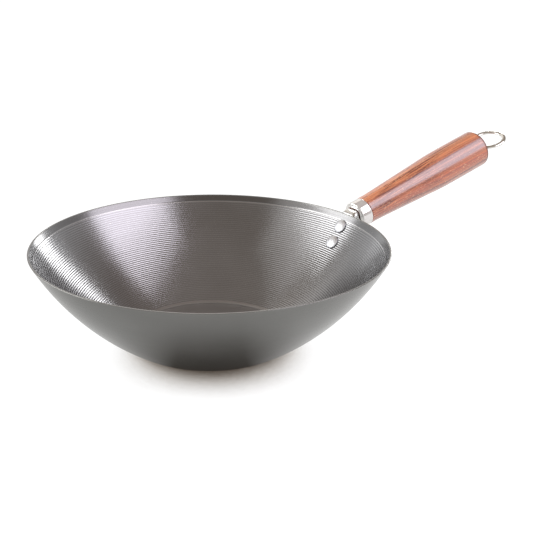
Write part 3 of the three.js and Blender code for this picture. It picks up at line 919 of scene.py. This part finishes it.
def make_rod(rod_finish):
    root_ease, root_depth = 0.0001, 0.0004
    shank_around, eye_around, shank_steps = 40, 72, 20
    root = EYE_ALONG - EYE_RADIUS
    root_end = root + root_depth
    profile = [
        (ROD_TIP, 0),
        (ROD_TIP, ROD_RADIUS - ROD_BEVEL),
        (ROD_TIP + ROD_BEVEL, ROD_RADIUS),
        *between((ROD_TIP + ROD_BEVEL, ROD_RADIUS), (WASHER_FACE, ROD_RADIUS), shank_steps),
        (root, ROD_RADIUS - root_ease),
        (root_end, ROD_RADIUS - ROD_BEVEL),
        (root_end, 0),
    ]
    shank = turned("rod_shank", profile, shank_around)
    place = EYE_CENTRE @ Matrix.Rotation(math.pi / 2 + EYE_ROLL, 4, "X")
    wire = 2 * EYE_WIRE_RADIUS
    eye = wire_loop("rod_eye", EYE_RADIUS, wire, wire, place, eye_around)
    rod = joined("tie_rod", [shank, eye])
    rod.data.materials.append(rod_finish)
    return rod


def make_washer(rod_finish):
    soft = 0.0002
    profile = [
        (WASHER_SEAT, BORE_RADIUS),
        (WASHER_SEAT, WASHER_RADIUS),
        (WASHER_FACE - soft, WASHER_RADIUS),
        (WASHER_FACE, WASHER_RADIUS - soft),
        (WASHER_FACE, BORE_RADIUS),
    ]
    washer = turned("end_washer", profile, 64)
    washer.data.materials.append(rod_finish)
    return washer


def make_ring():
    eye = EYE_CENTRE @ Matrix.Rotation(EYE_ROLL, 4, "X") @ Matrix.Rotation(-RING_LIFT, 4, "Y")
    place = eye @ Matrix.Translation((RING_MEAN_RADIUS, 0, 0))
    ring = wire_loop("hanging_loop", RING_MEAN_RADIUS, RING_WIDTH, RING_THICKNESS, place, 160)
    chrome = polished_chrome("ring_chrome", tint=(0.70, 0.685, 0.65), metallic=0.9)
    ring.data.materials.append(chrome)
    return ring


# Studio

VIEW_TURN = math.radians(-32.17)
FLOOR_HALF = 9.0
FLOOR_DROP = 0.0002
LAMP_TARGET = Vector((0, 0, 0.06))


def studio_point(right, away, up):
    """A point as seen by the camera: to the right, away from it and up, from the bowl's axis."""
    return Matrix.Rotation(VIEW_TURN, 3, "Z") @ Vector((right, away, up))


def studio_direction(azimuth, elevation):
    """Azimuth 0 is to the right of the camera's view and 90 away from it, in degrees."""
    turn, lift = math.radians(azimuth), math.radians(elevation)
    level = math.cos(lift)
    return studio_point(math.cos(turn) * level, math.sin(turn) * level, math.sin(lift))


def camera_rays(tree):
    return add(tree, "ShaderNodeLightPath").outputs["Is Camera Ray"]


def background_rays(tree):
    """1 on rays that show the background: from the camera, in a reflection or through glass."""
    path = add(tree, "ShaderNodeLightPath").outputs
    seen = math_node(tree, "MAXIMUM", path["Is Camera Ray"], path["Is Glossy Ray"])
    return math_node(tree, "MAXIMUM", seen, path["Is Transmission Ray"])


def make_floor():
    """A glowing floor, shaded by how much of the soft light each place sees.

    The camera sees white with a tight shadow under the wok. Reflections see a wider shadow in
    front, a lighter floor at the sides and a dimmer one to the left.
    """
    half = FLOOR_HALF
    square = ((-half, -half), (half, -half), (half, half), (-half, half))
    mesh = bpy.data.meshes.new("studio_floor")
    mesh.from_pydata([(x, y, -FLOOR_DROP) for x, y in square], [], [(0, 1, 2, 3)])
    floor = linked("studio_floor", mesh)
    grey = (0.12, 0.12, 0.12, 1)
    material, tree, shader = finish(
        "pale_floor", Base_Color=grey, Roughness=0.9, Specular_IOR_Level=0.0
    )
    soft_light = dict(enumerate(studio_direction(95, 60)))
    direction = add(tree, "ShaderNodeCombineXYZ", soft_light).outputs[0]

    def open_share(reach, samples):
        values = {"Distance": reach, "Normal": direction}
        return add(tree, "ShaderNodeAmbientOcclusion", values, samples=samples).outputs["AO"]

    glow = ramp(tree, open_share(reach=0.08, samples=24), (
        (0.085, (0.047, 0.034, 0.023)),
        (0.115, (0.197, 0.160, 0.127)),
        (0.165, (0.583, 0.550, 0.517)),
        (0.21, (0.827, 0.818, 0.808)),
        (0.25, (0.912, 0.912, 0.912)),
        (0.30, (1.0, 1.0, 1.0)),
    ))
    natural = ramp(tree, open_share(reach=0.10, samples=16), (
        (0.10, (0.04, 0.033, 0.026)),
        (0.20, (0.13, 0.116, 0.10)),
        (0.32, (0.44, 0.425, 0.405)),
        (0.44, (0.78, 0.775, 0.765)),
        (0.62, (0.98, 0.975, 0.96)),
    ))
    off_middle = vector_node(tree, "DOT_PRODUCT", object_place(tree), studio_point(1, 0, 0))
    beside = span(tree, math_node(tree, "ABSOLUTE", off_middle), 0.03, 0.095, 0.0, 0.9)
    lit_sides = mix_colours(tree, beside, natural, (1.0, 1.0, 0.99, 1))
    level = span(tree, off_middle, -0.22, 0.12, 0.73, 0.94)
    dimmed = vector_node(tree, "SCALE", lit_sides, level)
    seen = mix_colours(tree, camera_rays(tree), dimmed, glow)
    strength = span(tree, background_rays(tree), 0.0, 1.0, 0.4, 1.0)
    connect(tree, shader, Emission_Color=seen, Emission_Strength=strength)
    mesh.materials.append(material)


def make_world():
    """White for the camera.

    Other rays see white round the horizon and warm grey overhead, with two darker gaps: a faint
    one beyond the handle's end and a deep one low on the right, towards the camera.
    """
    world = bpy.data.worlds.new("white_studio")
    world.use_nodes = True
    tree = world.node_tree
    background = tree.nodes["Background"]
    direction = add(tree, "ShaderNodeTexCoord").outputs["Generated"]
    up = add(tree, "ShaderNodeSeparateXYZ", {0: direction}).outputs[2]
    colour = ramp(tree, up, (
        (0.2, (1.0, 1.0, 1.0)),
        (0.60, (0.265, 0.208, 0.155)),
        (0.9, (0.41, 0.35, 0.295)),
    ))
    for azimuth, elevation, start, full, share, shade in (
        (30, 20, 0.85, 0.97, 0.2, (0.05, 0.045, 0.045, 1)),
        (-38, 6, 0.92, 0.98, 0.85, (0.30, 0.26, 0.22, 1)),
    ):
        gap = studio_direction(azimuth, elevation)
        towards = vector_node(tree, "DOT_PRODUCT", direction, gap)
        colour = mix_colours(tree, span(tree, towards, start, full, 0.0, share), colour, shade)
    seen = mix_colours(tree, camera_rays(tree), colour, (1, 1, 1, 1))
    strength = span(tree, background_rays(tree), 0.0, 1.0, 0.45, 1.0)
    connect(tree, background, Color=seen, Strength=strength)
    bpy.context.scene.world = world


def softbox(name, azimuth, elevation, distance, width, height, power, colour=(1, 1, 1)):
    """A lamp aimed at the bowl, which the camera doesn't see."""
    place = LAMP_TARGET + distance * studio_direction(azimuth, elevation)
    lamp = bpy.data.lights.new(name, "AREA")
    lamp.shape = "RECTANGLE"
    lamp.size = width
    lamp.size_y = height
    lamp.energy = power
    lamp.color = colour
    holder = linked(name, lamp)
    holder.location = place
    holder.rotation_euler = (LAMP_TARGET - place).to_track_quat("-Z", "Y").to_euler()
    holder.visible_camera = False


def make_lights():
    # Name, azimuth, elevation, distance, width, height, power and colour
    softbox("right_box", -20.5, 38.5, 1.4, 1.38, 1.02, 15.9, (0.955, 0.905, 1.0))
    softbox("right_back_strip", 62.5, 13, 1.6, 0.3, 0.8, 7.0)
    softbox("left_box", 174, 16, 1.4, 1.25, 0.8, 15.0)
    softbox("left_top_box", 182, 42, 1.4, 1.15, 0.65, 2.1)
    softbox("back_top_box", 106, 38, 1.5, 1.2, 0.65, 2.0, (1.0, 0.98, 0.95))
    softbox("back_box", 106, 5, 1.6, 0.9, 0.5, 0.65)


def make_camera():
    """The camera that was fitted to the photo's rim, wall and handle."""
    down, turn = math.radians(19.23), math.radians(-33.52)
    lens = bpy.data.cameras.new("photo_camera")
    lens.sensor_width = 36.0
    lens.lens = 60.62
    lens.shift_x = 0.06848
    lens.shift_y = -0.03096
    holder = linked("photo_camera", lens)
    holder.location = (-0.37809, -0.60108, 0.32533)
    holder.rotation_euler = (math.pi / 2 - down, 0, turn)
    bpy.context.scene.camera = holder


# Pieces

def dress(piece, slot, *nodes, body="wok"):
    """Puts a piece on its body, in the place of its CAD nodes."""
    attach(piece, body)
    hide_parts(*nodes)


make_camera()
dress(make_bowl(), "bowl_steel", "wok_bowl")
dress(make_bracket(), "bracket_steel", "handle_bracket")
dress(make_rivets(), "rivet_metal", "rivet_upper", "rivet_lower")
dress(make_ferrule(), "ferrule_chrome", "ferrule")
dress(make_wood(), "handle_wood", "wooden_handle")
rod_finish = plated_steel()
dress(make_rod(rod_finish), "rod_steel", "eye_rod")
dress(make_washer(rod_finish), "rod_steel", "rod_washer")
dress(make_ring(), "ring_chrome", "hanging_ring", body="ring")
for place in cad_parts["anchor_nut"].material_slots:
    place.link = "OBJECT"
    place.material = rod_finish

make_floor()
make_world()
make_lights()
bpy.context.scene.view_settings.view_transform = "Standard"
